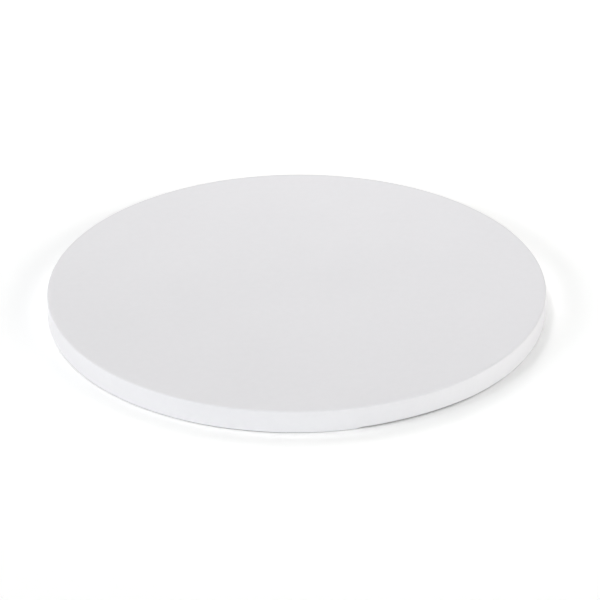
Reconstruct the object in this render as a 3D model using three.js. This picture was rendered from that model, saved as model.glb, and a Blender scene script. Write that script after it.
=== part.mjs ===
// A round cake board: a stiff flat disc, covered all over in white paper, that a cake stands on.
// Sizes are in millimetres and +Z is up. The origin is the centre of the face that the board rests on.
import * as THREE from "three";

// Driving dimensions
const boardDiameter = 254; // the ten-inch size
const boardThickness = 12; // from the resting face to the top
const topEdgeRadius = 0.9; // the bend of the cover paper from the top into the rim
const bottomEdgeRadius = 1.2; // the bend from the rim into the underside
const marginWidth = 9; // the ring of turned-in cover paper that shows around the base paper
const basePaperThickness = 0.35; // how far the base paper stands below that ring

// How finely the round forms are drawn
const stepsAround = 144;
const stepsPerBend = 4;

const boardRadius = boardDiameter / 2;
const marginHeight = basePaperThickness;
const basePaperRadius = boardRadius - marginWidth;
const topBend = new THREE.Vector2(boardRadius - topEdgeRadius, boardThickness - topEdgeRadius);
const bottomBend = new THREE.Vector2(boardRadius - bottomEdgeRadius, marginHeight + bottomEdgeRadius);

const whitePaper = new THREE.MeshStandardMaterial({
  name: "white_paper",
  color: 0xe8e7ea,
  roughness: 0.6,
  metalness: 0,
});

// Half of the board's section, with x as the distance from the axis and y as the height.
// It runs from the axis out along the underside, up the rim and back along the top.
function boardSection() {
  const section = new THREE.Path();
  section.moveTo(0, 0);
  section.lineTo(basePaperRadius, 0);
  section.lineTo(basePaperRadius, marginHeight);
  section.lineTo(bottomBend.x, marginHeight);
  section.absarc(bottomBend.x, bottomBend.y, bottomEdgeRadius, -Math.PI / 2, 0, false);
  section.lineTo(boardRadius, topBend.y);
  section.absarc(topBend.x, topBend.y, topEdgeRadius, 0, Math.PI / 2, false);
  section.lineTo(0, boardThickness);
  return section;
}

// The board is one piece: its section turned a full circle. A lathe turns about Y, so the mesh is
// stood up on Z.
function cakeBoard() {
  // An arc is drawn with twice the divisions that getPoints is given.
  const outline = boardSection().getPoints(stepsPerBend / 2);
  const board = new THREE.Mesh(new THREE.LatheGeometry(outline, stepsAround), whitePaper);
  board.name = "cake_board";
  board.rotation.x = Math.PI / 2;
  return board;
}

const part = new THREE.Group();
part.add(cakeBoard());

export default part;
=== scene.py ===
import math

import bpy
import numpy as np
from mathutils import Matrix, Vector


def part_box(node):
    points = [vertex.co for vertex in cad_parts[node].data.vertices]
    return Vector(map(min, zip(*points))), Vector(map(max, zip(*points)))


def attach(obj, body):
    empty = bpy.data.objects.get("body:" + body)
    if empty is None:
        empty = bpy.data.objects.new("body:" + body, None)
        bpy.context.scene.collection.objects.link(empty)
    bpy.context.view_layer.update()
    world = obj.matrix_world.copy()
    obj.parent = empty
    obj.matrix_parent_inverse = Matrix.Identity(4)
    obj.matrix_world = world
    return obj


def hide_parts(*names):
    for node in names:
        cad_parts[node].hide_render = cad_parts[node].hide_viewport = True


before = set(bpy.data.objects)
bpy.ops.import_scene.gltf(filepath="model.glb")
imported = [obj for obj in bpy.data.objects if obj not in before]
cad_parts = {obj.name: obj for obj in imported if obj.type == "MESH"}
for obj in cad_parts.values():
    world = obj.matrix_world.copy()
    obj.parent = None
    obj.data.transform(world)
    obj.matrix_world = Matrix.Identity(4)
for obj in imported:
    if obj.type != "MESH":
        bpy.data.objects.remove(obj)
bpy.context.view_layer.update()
boardLow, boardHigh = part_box("cake_board")
boardRadius = (boardHigh.x - boardLow.x) / 2
boardTop = boardHigh.z
print("Frame: a board %.0f mm across and %.1f mm thick" % (2000 * boardRadius, 1000 * boardTop))

mm = 0.001
fullTurn = 2 * math.pi


# The camera looks along +Y, tilted down and rolled a little. Its place is the board's middle, moved
# back along the line of sight and across it by the two small offsets.
cameraView = {
    "lens": 240.0,
    "sensorWidth": 36.0,
    "nearest": 0.05,  # the span that the camera sees
    "furthest": 60.0,
    "lookingDown": 28.6,  # degrees below level
    "roll": 0.44,  # degrees, which lifts the right-hand side
    "distance": 2.0420,
    "boardRightOfAim": -0.00168,
    "boardAboveAim": -0.00354,
}


def placeCamera(view):
    down = math.radians(view["lookingDown"])
    roll = math.radians(view["roll"])
    sight = Vector((0, math.cos(down), -math.sin(down)))
    level = Vector((1, 0, 0))
    upright = Vector((0, math.sin(down), math.cos(down)))
    right = level * math.cos(roll) - upright * math.sin(roll)
    up = level * math.sin(roll) + upright * math.cos(roll)
    place = -sight * view["distance"] - right * view["boardRightOfAim"] - up * view["boardAboveAim"]
    lensData = bpy.data.cameras.new("photoCamera")
    lensData.lens = view["lens"]
    lensData.sensor_width = view["sensorWidth"]
    lensData.clip_start = view["nearest"]
    lensData.clip_end = view["furthest"]
    camera = bpy.data.objects.new("photoCamera", lensData)
    bpy.context.scene.collection.objects.link(camera)
    axes = Matrix((right, up, -sight)).transposed()
    camera.matrix_world = Matrix.Translation(place) @ axes.to_4x4()
    bpy.context.scene.camera = camera


placeCamera(cameraView)
print("Camera: %.0f mm lens, looking down %.1f degrees" % (cameraView["lens"], cameraView["lookingDown"]))


# A closed form turned about Z: x and y are the ring's radius times the cosine and the sine of the
# turn, and z is its height. Both grids have a row for each ring, from the middle of the underside
# out, up the rim and in to the middle of the top, and a column for each step round. The first and
# last rings have no width, so each is put in as one point.
def turnedForm(name, radii, heights, turns):
    ringCount, stepCount = radii.shape
    inner = slice(1, ringCount - 1)
    rings = np.stack([radii * np.cos(turns), radii * np.sin(turns), heights], axis=-1)
    points = np.concatenate([
        [[0.0, 0.0, heights[0].mean()]],
        rings[inner].reshape(-1, 3),
        [[0.0, 0.0, heights[-1].mean()]],
    ])
    here = np.arange(stepCount)
    after = (here + 1) % stepCount
    ringStart = 1 + stepCount * np.arange(ringCount - 3)[:, None]
    quads = np.stack([
        ringStart + here,
        ringStart + after,
        ringStart + stepCount + after,
        ringStart + stepCount + here,
    ], axis=-1).reshape(-1, 4)
    lastRing = 1 + stepCount * (ringCount - 3)
    topPoint = len(points) - 1
    underFan = np.stack([np.zeros_like(here), 1 + after, 1 + here], axis=-1)
    topFan = np.stack([np.full_like(here, topPoint), lastRing + here, lastRing + after], axis=-1)
    mesh = bpy.data.meshes.new(name)
    corners = np.concatenate([quads.ravel(), underFan.ravel(), topFan.ravel()])
    sizes = np.concatenate([np.full(len(quads), 4), np.full(2 * stepCount, 3)])
    mesh.vertices.add(len(points))
    mesh.vertices.foreach_set("co", points.astype(np.float32).ravel())
    mesh.loops.add(len(corners))
    mesh.loops.foreach_set("vertex_index", corners.astype(np.int32))
    mesh.polygons.add(len(sizes))
    mesh.polygons.foreach_set("loop_start", (np.cumsum(sizes) - sizes).astype(np.int32))
    mesh.polygons.foreach_set("use_smooth", np.ones(len(sizes), dtype=bool))
    mesh.update(calc_edges=True)
    mesh.validate()
    piece = bpy.data.objects.new(name, mesh)
    bpy.context.scene.collection.objects.link(piece)
    return piece


# A smooth line round the board: the mean of cosines, each with a whole number of waves in the turn.
def roundWaves(turns, waveCounts, seed):
    dice = np.random.default_rng(seed)
    starts = dice.uniform(0, fullTurn, len(waveCounts))
    total = sum(np.cos(count * turns + start) for count, start in zip(waveCounts, starts))
    return total / len(waveCounts)


# From 0 at low to 1 at high, flat at both ends: three times the share's square, less twice its cube.
def easeBetween(value, low, high):
    share = np.clip((value - low) / (high - low), 0, 1)
    return share * share * (3 - 2 * share)


# The cover paper: matt, with broad soft clouds, a fine mottle and a felt of short fibres.
paperLook = {
    "white": (0.815, 0.806, 0.828),  # linear
    "shade": (0.792, 0.784, 0.806),
    "roughness": (0.54, 0.68),
    "specular": 0.35,
    "clouds": {"scale": 14.0, "detail": 2.0},  # waves to the metre
    "mottle": {"scale": 260.0, "detail": 3.0, "roughness": 0.6},
    "fibres": {"scale": 1700.0, "detail": 4.0, "roughness": 0.65, "distortion": 0.6},
    "toneSpread": (0.35, 0.65),  # noise at which the paper is all shade and all white
    "mottleSpread": (0.3, 0.7),  # noise at which it is smoothest and roughest
    "fibreHeight": 0.02 * mm,
    "fibreStrength": 0.4,
}


def newMaterial(name):
    material = bpy.data.materials.new(name)
    material.use_nodes = True
    material.node_tree.nodes.clear()
    return material, material.node_tree.nodes, material.node_tree.links


def noiseNode(nodes, links, place, scale, detail, roughness=0.5, distortion=0.0):
    noise = nodes.new("ShaderNodeTexNoise")
    noise.inputs["Scale"].default_value = scale
    noise.inputs["Detail"].default_value = detail
    noise.inputs["Roughness"].default_value = roughness
    noise.inputs["Distortion"].default_value = distortion
    links.new(place, noise.inputs["Vector"])
    return noise.outputs["Fac"]


def spreadNode(nodes, links, value, fromLow, fromHigh, toLow, toHigh):
    spread = nodes.new("ShaderNodeMapRange")
    spread.inputs["From Min"].default_value = fromLow
    spread.inputs["From Max"].default_value = fromHigh
    spread.inputs["To Min"].default_value = toLow
    spread.inputs["To Max"].default_value = toHigh
    links.new(value, spread.inputs["Value"])
    return spread.outputs["Result"]


def mathNode(nodes, links, first, second, operation):
    node = nodes.new("ShaderNodeMath")
    node.operation = operation
    for socket, value in zip(node.inputs, (first, second)):
        if isinstance(value, (int, float)):
            socket.default_value = value
        else:
            links.new(value, socket)
    return node.outputs["Value"]


# 1 where the camera sees the place itself, or in a reflection or through glass, and 0 where it only
# lights other things.
def seenOutright(nodes, links):
    path = nodes.new("ShaderNodeLightPath")
    seen = mathNode(nodes, links, path.outputs["Is Camera Ray"], path.outputs["Is Glossy Ray"], "MAXIMUM")
    return mathNode(nodes, links, seen, path.outputs["Is Transmission Ray"], "MAXIMUM")


def paperMaterial(name, look):
    material, nodes, links = newMaterial(name)
    place = nodes.new("ShaderNodeTexCoord").outputs["Object"]
    clouds = noiseNode(nodes, links, place, **look["clouds"])
    mottle = noiseNode(nodes, links, place, **look["mottle"])
    fibres = noiseNode(nodes, links, place, **look["fibres"])
    halfClouds = mathNode(nodes, links, clouds, 0.5, "MULTIPLY")
    halfMottle = mathNode(nodes, links, mottle, 0.5, "MULTIPLY")
    tone = mathNode(nodes, links, halfClouds, halfMottle, "ADD")
    share = spreadNode(nodes, links, tone, *look["toneSpread"], 0.0, 1.0)
    blend = nodes.new("ShaderNodeMix")
    blend.data_type = "RGBA"
    blend.inputs["A"].default_value = (*look["shade"], 1)
    blend.inputs["B"].default_value = (*look["white"], 1)
    links.new(share, blend.inputs["Factor"])
    roughness = spreadNode(nodes, links, mottle, *look["mottleSpread"], *look["roughness"])
    bump = nodes.new("ShaderNodeBump")
    bump.inputs["Strength"].default_value = look["fibreStrength"]
    bump.inputs["Distance"].default_value = look["fibreHeight"]
    links.new(fibres, bump.inputs["Height"])
    shader = nodes.new("ShaderNodeBsdfPrincipled")
    shader.inputs["Specular IOR Level"].default_value = look["specular"]
    links.new(blend.outputs["Result"], shader.inputs["Base Color"])
    links.new(roughness, shader.inputs["Roughness"])
    links.new(bump.outputs["Normal"], shader.inputs["Normal"])
    output = nodes.new("ShaderNodeOutputMaterial")
    links.new(shader.outputs["BSDF"], output.inputs["Surface"])
    return material


# The board in its cover paper.
boardShape = {
    "stepsRound": 1080,
    "stepsPerBend": 9,
    "stepsUpRim": 11,
    "ringsUnderMiddle": 4,  # they end a little inside the margin, at middleGap from it
    "middleGap": 1.0 * mm,
    "ringsUnderMargin": 14,  # they start at marginLead inside it
    "marginLead": 0.2 * mm,
    "topRings": (5, 11),  # in the outer band of the top, and in the rest of it
    "topBand": 0.1,  # share of the radius
    "topBend": 0.9 * mm,  # how tightly the paper turns over the top edge
    "lowerBend": 0.55 * mm,  # and under the rim
    "marginHeight": 0.35 * mm,  # from the floor to the turned-in paper
    "marginWidth": 9.0 * mm,
    "marginRamp": (1.5 * mm, 0.5 * mm),  # inside and outside the margin's edge, where lifts fade in
    "rimWave": 0.05 * mm,  # how far the rim wanders in and out
    "rimHollow": 0.06 * mm,  # how far the paper pulls in between the two bends
    "topWave": 0.05 * mm,
    "waveBlend": 4.0 * mm,  # height at which the foot's own waves have given way to the rim's
    "rimWaveStart": 0.9,  # share of the radius at which the rim's waves fade in
    "waveDepth": 2.0 * mm,  # how far inside the rim and below the top their waves are in full
    "rimWaveCounts": (2, 3, 5, 8, 13, 19),
    "footWaveCounts": (4, 7, 11, 17, 23),
    "topWaveCounts": (2, 3, 4),
    "seeds": {"rim": 3, "foot": 5, "top": 8, "pleats": 11},
    # How far the turned-in paper under the rim lies above or below its margin's height: degrees
    # round from +X, and the lift in mm.
    "footLifts": ((-150, -0.25), (-140, -0.25), (-110, -0.20), (-99, -0.16), (-90, -0.20), (-82, -0.25),
                  (-77.5, -0.25), (-75.5, 0.36), (-66, 0.60), (-56, 0.44), (-43, -0.02), (-34, -0.25),
                  (-20, -0.25), (30, 0.0), (90, 0.15), (150, -0.05)),
    "pleats": 46,
    "pleatWidth": 4.2 * mm,
    "pleatHeight": 0.12 * mm,
    "pleatFull": 4.0 * mm,  # how far in from the rim a fold has its full height
    "pleatShift": 0.28,  # how far a fold may stray, as a share of the space between two
    "pleatSizes": (0.55, 1.0),
    "pleatFall": 1.4,  # above 1 a fold is hollow behind its edge
}


# The lift at each turn: straight shares between the listed places, eased at both ends of each
# stretch, and joined up round the circle.
def footLift(turns, places):
    degrees = np.degrees(turns)
    at = np.array([place for place, lift in places], dtype=float)
    lifts = np.array([lift for place, lift in places]) * mm
    at = np.concatenate([at - 360, at, at + 360])
    lifts = np.tile(lifts, 3)
    wrapped = (degrees + 180) % 360 - 180
    index = np.clip(np.searchsorted(at, wrapped, side="right") - 1, 0, len(at) - 2)
    share = easeBetween((wrapped - at[index]) / (at[index + 1] - at[index]), 0, 1)
    return lifts[index] * (1 - share) + lifts[index + 1] * share


# How thick the folds in the turned-in paper are, from 0 to 1: each fold is a ramp that falls away
# round the board from a sharp edge. The folds are spread evenly, moved a little by chance.
def pleatFolds(turns, shape):
    dice = np.random.default_rng(shape["seeds"]["pleats"])
    count = shape["pleats"]
    shift = shape["pleatShift"]
    edges = (np.arange(count) + dice.uniform(-shift, shift, count)) * fullTurn / count
    sizes = dice.uniform(*shape["pleatSizes"], count)
    past = (turns.ravel()[None, :] - edges[:, None]) % fullTurn * boardRadius
    ramps = np.clip(1 - past / shape["pleatWidth"], 0, 1) ** shape["pleatFall"] * sizes[:, None]
    return ramps.max(axis=0)[None, :]


# The section is carried round the board: out along the underside, a quarter circle into the rim,
# up, a quarter circle into the top, and in to the middle. Low waves move the rim in and out and the
# top up and down. The folds hang from the underside where the paper is turned in.
def wrappedBoard(shape):
    turns = np.linspace(0, fullTurn, shape["stepsRound"], endpoint=False)[None, :]
    lower, upper = shape["lowerBend"], shape["topBend"]
    marginHeight, marginWidth = shape["marginHeight"], shape["marginWidth"]
    seeds = shape["seeds"]
    foot = marginHeight + footLift(turns, shape["footLifts"])
    arc = np.linspace(0, math.pi / 2, shape["stepsPerBend"] + 1)[:, None]
    marginStart = boardRadius - marginWidth
    inset = boardRadius - np.concatenate([
        np.linspace(0, 1, shape["ringsUnderMiddle"]) * (marginStart - shape["middleGap"]),
        np.linspace(marginStart - shape["marginLead"], boardRadius - lower, shape["ringsUnderMargin"]),
    ])[:, None]
    rampIn, rampOut = shape["marginRamp"]
    turnedIn = easeBetween(inset, marginWidth + rampIn, marginWidth - rampOut)
    folds = pleatFolds(turns, shape) * shape["pleatHeight"]
    folds = folds * turnedIn * easeBetween(inset, lower, shape["pleatFull"])
    underHeights = marginHeight + (foot - marginHeight) * turnedIn - folds
    underRadii = boardRadius - inset + 0 * turns
    bendRadii = boardRadius - lower + lower * np.sin(arc[1:]) + 0 * turns
    bendHeights = foot + lower - lower * np.cos(arc[1:])
    rise = np.linspace(0, 1, shape["stepsUpRim"] + 1)[1:, None]
    rimHeights = foot + lower + (boardTop - upper - foot - lower) * rise
    rimRadii = boardRadius - shape["rimHollow"] * np.sin(math.pi * rise) ** 2 + 0 * turns
    edgeRadii = boardRadius - upper + upper * np.cos(arc[1:]) + 0 * turns
    edgeHeights = boardTop - upper + upper * np.sin(arc[1:]) + 0 * turns
    band = shape["topBand"]
    bandRings, innerRings = shape["topRings"]
    across = np.concatenate([
        np.linspace(0, band, bandRings + 1)[1:],
        np.linspace(band, 1, innerRings + 1)[1:],
    ])[:, None]
    topRadii = (boardRadius - upper) * (1 - across) + 0 * turns
    topHeights = boardTop + 0 * topRadii
    radii = np.concatenate([underRadii, bendRadii, rimRadii, edgeRadii, topRadii])
    heights = np.concatenate([underHeights, bendHeights, rimHeights, edgeHeights, topHeights])
    fromFoot = easeBetween(heights, marginHeight, shape["waveBlend"])
    wander = roundWaves(turns, shape["rimWaveCounts"], seeds["rim"]) * fromFoot
    wander = wander + roundWaves(turns, shape["footWaveCounts"], seeds["foot"]) * (1 - fromFoot)
    depth = shape["waveDepth"]
    nearRim = easeBetween(radii, shape["rimWaveStart"] * boardRadius, boardRadius - depth)
    radii = radii + shape["rimWave"] * (wander - 1) * nearRim
    sag = roundWaves(turns, shape["topWaveCounts"], seeds["top"]) * easeBetween(radii, 0, boardRadius)
    nearTop = easeBetween(heights, boardTop - depth, boardTop)
    heights = heights + shape["topWave"] * (sag - 1) * nearTop
    return turnedForm("wrapped_board", radii, heights, turns)


whitePaper = paperMaterial("white_paper", paperLook)
wrapped = wrappedBoard(boardShape)
wrapped.data.materials.append(whitePaper)
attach(wrapped, "root")
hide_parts("cake_board")
print("Board: %d faces" % len(wrapped.data.polygons))


# The base paper, pasted over the turned-in paper. The board rests on it.
basePaperShape = {
    "stepsRound": 720,
    "thickness": boardShape["marginHeight"],
    "radius": boardRadius - boardShape["marginWidth"],
    "cutWave": 0.15 * mm,  # how far the cut edge wanders
    "cutWaveCounts": (3, 5, 9, 14, 22),
    "seed": 21,
    "edgeCurl": 0.06 * mm,
    "curlStart": 0.93,  # share of the radius at which the curl begins
}


# A thin disc: its section is a flat strip whose outer edge is cut square and curls up a little.
def basePaper(shape):
    turns = np.linspace(0, fullTurn, shape["stepsRound"], endpoint=False)[None, :]
    inward = np.concatenate([np.linspace(1, 0.1, 8), np.linspace(0.1, 0, 6)[1:]])[:, None]
    radius = shape["radius"]
    cut = radius + shape["cutWave"] * roundWaves(turns, shape["cutWaveCounts"], shape["seed"])
    underRadii = cut * (1 - inward)
    curl = shape["edgeCurl"] * easeBetween(underRadii, shape["curlStart"] * radius, radius)
    thickness = shape["thickness"]
    lip = np.array([0.25, 0.75, 1.0])[:, None]
    lipRadii = cut + 0 * lip
    lipHeights = shape["edgeCurl"] + (thickness - shape["edgeCurl"]) * lip + 0 * turns
    coverRadii = cut * np.linspace(1, 0, 5)[1:, None]
    radii = np.concatenate([underRadii, lipRadii, coverRadii])
    heights = np.concatenate([curl, lipHeights, thickness + 0 * coverRadii])
    return turnedForm("base_paper", radii, heights, turns)


base = basePaper(basePaperShape)
base.data.materials.append(whitePaper)
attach(base, "root")
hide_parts("cake_board")
print("Base paper: %d faces" % len(base.data.polygons))


# The floor is white paper under studio light. The camera sees it lighter than it is, so that it
# comes out white where it is bare and keeps the board's shadow. Under the rim, where little of the
# sky is open, its colour is darkened by painted shade, which draws the thin dark line that the board stands
# on.
floorLook = {
    "reach": 20.0,
    "colour": 0.88,
    "colourWhenSeen": 1.212,
    "contactReach": 2.0 * mm,
    "contactSamples": 16,
    "paintedContactShade": 0.5,  # painted shade: what is left of the colour in the depth of the gap
    "contactOpen": (0.12, 0.5),  # open share of the sky, in full painted shade and in none
}


def whiteFloor(look):
    reach = look["reach"]
    mesh = bpy.data.meshes.new("studio_floor")
    mesh.from_pydata([(-reach, -reach, 0), (reach, -reach, 0), (reach, reach, 0), (-reach, reach, 0)],
                     [], [(0, 1, 2, 3)])
    floor = bpy.data.objects.new("studio_floor", mesh)
    bpy.context.scene.collection.objects.link(floor)
    material, nodes, links = newMaterial("studio_floor")
    # Painted shade: the floor colour is darkened where little sky is open within contactReach, under the
    # rim.
    openSky = nodes.new("ShaderNodeAmbientOcclusion")
    openSky.samples = look["contactSamples"]
    openSky.inputs["Distance"].default_value = look["contactReach"]
    shade = spreadNode(nodes, links, openSky.outputs["AO"], *look["contactOpen"], look["paintedContactShade"], 1.0)
    seen = seenOutright(nodes, links)
    colour = spreadNode(nodes, links, seen, 0.0, 1.0, look["colour"], look["colourWhenSeen"])
    diffuse = nodes.new("ShaderNodeBsdfDiffuse")
    links.new(mathNode(nodes, links, colour, shade, "MULTIPLY"), diffuse.inputs["Color"])
    output = nodes.new("ShaderNodeOutputMaterial")
    links.new(diffuse.outputs["BSDF"], output.inputs["Surface"])
    mesh.materials.append(material)
    return floor


floor = whiteFloor(floorLook)

# The light. Each lamp is far away and wide, so its light is even all over the floor and its shadow
# is soft: "from" is its azimuth round the board, from the camera's side, and its height, in degrees.
# The two softboxes hang close by, over the back of the board.
studioLight = {
    "worldFill": 0.03,
    "lampDistance": 3,
    "lamps": {
        "left": {"from": (-90, 16), "size": 36, "strength": 0.59, "colour": (1.03, 1.0, 0.96)},
        "frontLeft": {"from": (-60, 16), "size": 36, "strength": 1.46, "colour": (0.98, 1.0, 1.01)},
        "front": {"from": (0, 16), "size": 36, "strength": 0.56, "colour": (0.95, 1.0, 1.02)},
        "frontRight": {"from": (30, 16), "size": 36, "strength": 0.38, "colour": (0.96, 1.0, 1.01)},
        "rightHand": {"from": (60, 16), "size": 36, "strength": 1.04, "colour": (1.01, 1.0, 0.96)},
        "right": {"from": (90, 16), "size": 36, "strength": 0.60, "colour": (1.02, 1.0, 0.96)},
        "highRight": {"from": (90, 40), "size": 36, "strength": 0.07, "colour": (1.0, 1.0, 1.0)},
        "back": {"from": (180, 40), "size": 36, "strength": 0.56, "colour": (1.0, 1.0, 1.0)},
        "backLeft": {"from": (-150, 40), "size": 36, "strength": 0.47, "colour": (1.0, 1.0, 1.0)},
        "highLeft": {"from": (-120, 68), "size": 12, "strength": 0.44, "colour": (1.0, 1.0, 1.0)},
    },
    "softboxes": {
        "behind": {"at": (0, 0.50, 0.45), "size": 0.35, "power": 0.54},
        "behindRight": {"at": (0.42, 0.32, 0.45), "size": 0.35, "power": 0.20},
    },
}


def addLamp(name, kind, place):
    data = bpy.data.lights.new(name, kind)
    light = bpy.data.objects.new(name, data)
    light.rotation_mode = "QUATERNION"
    light.rotation_quaternion = place.to_track_quat("Z", "Y")
    light.location = place
    light.visible_camera = False
    bpy.context.scene.collection.objects.link(light)
    return data


def lightStudio(studio):
    world = bpy.data.worlds.new("studio")
    bpy.context.scene.world = world
    world.use_nodes = True
    nodes, links = world.node_tree.nodes, world.node_tree.links
    nodes.clear()
    strength = spreadNode(nodes, links, seenOutright(nodes, links), 0.0, 1.0, studio["worldFill"], 1.0)
    back = nodes.new("ShaderNodeBackground")
    links.new(strength, back.inputs["Strength"])
    output = nodes.new("ShaderNodeOutputWorld")
    links.new(back.outputs["Background"], output.inputs["Surface"])
    for name, lamp in studio["lamps"].items():
        azimuth, height = (math.radians(angle) for angle in lamp["from"])
        towards = Vector((math.sin(azimuth) * math.cos(height), -math.cos(azimuth) * math.cos(height),
                          math.sin(height)))
        data = addLamp(name, "SUN", studio["lampDistance"] * towards)
        data.angle = math.radians(lamp["size"])
        data.energy = lamp["strength"]
        data.color = lamp["colour"]
    for name, box in studio["softboxes"].items():
        data = addLamp(name, "AREA", Vector(box["at"]))
        data.shape = "DISK"
        data.size = box["size"]
        data.energy = box["power"]


lightStudio(studioLight)
bpy.context.scene.view_settings.view_transform = "Standard"
lampCount, boxCount = len(studioLight["lamps"]), len(studioLight["softboxes"])
print("Studio: floor, %d lamps and %d softboxes" % (lampCount, boxCount))
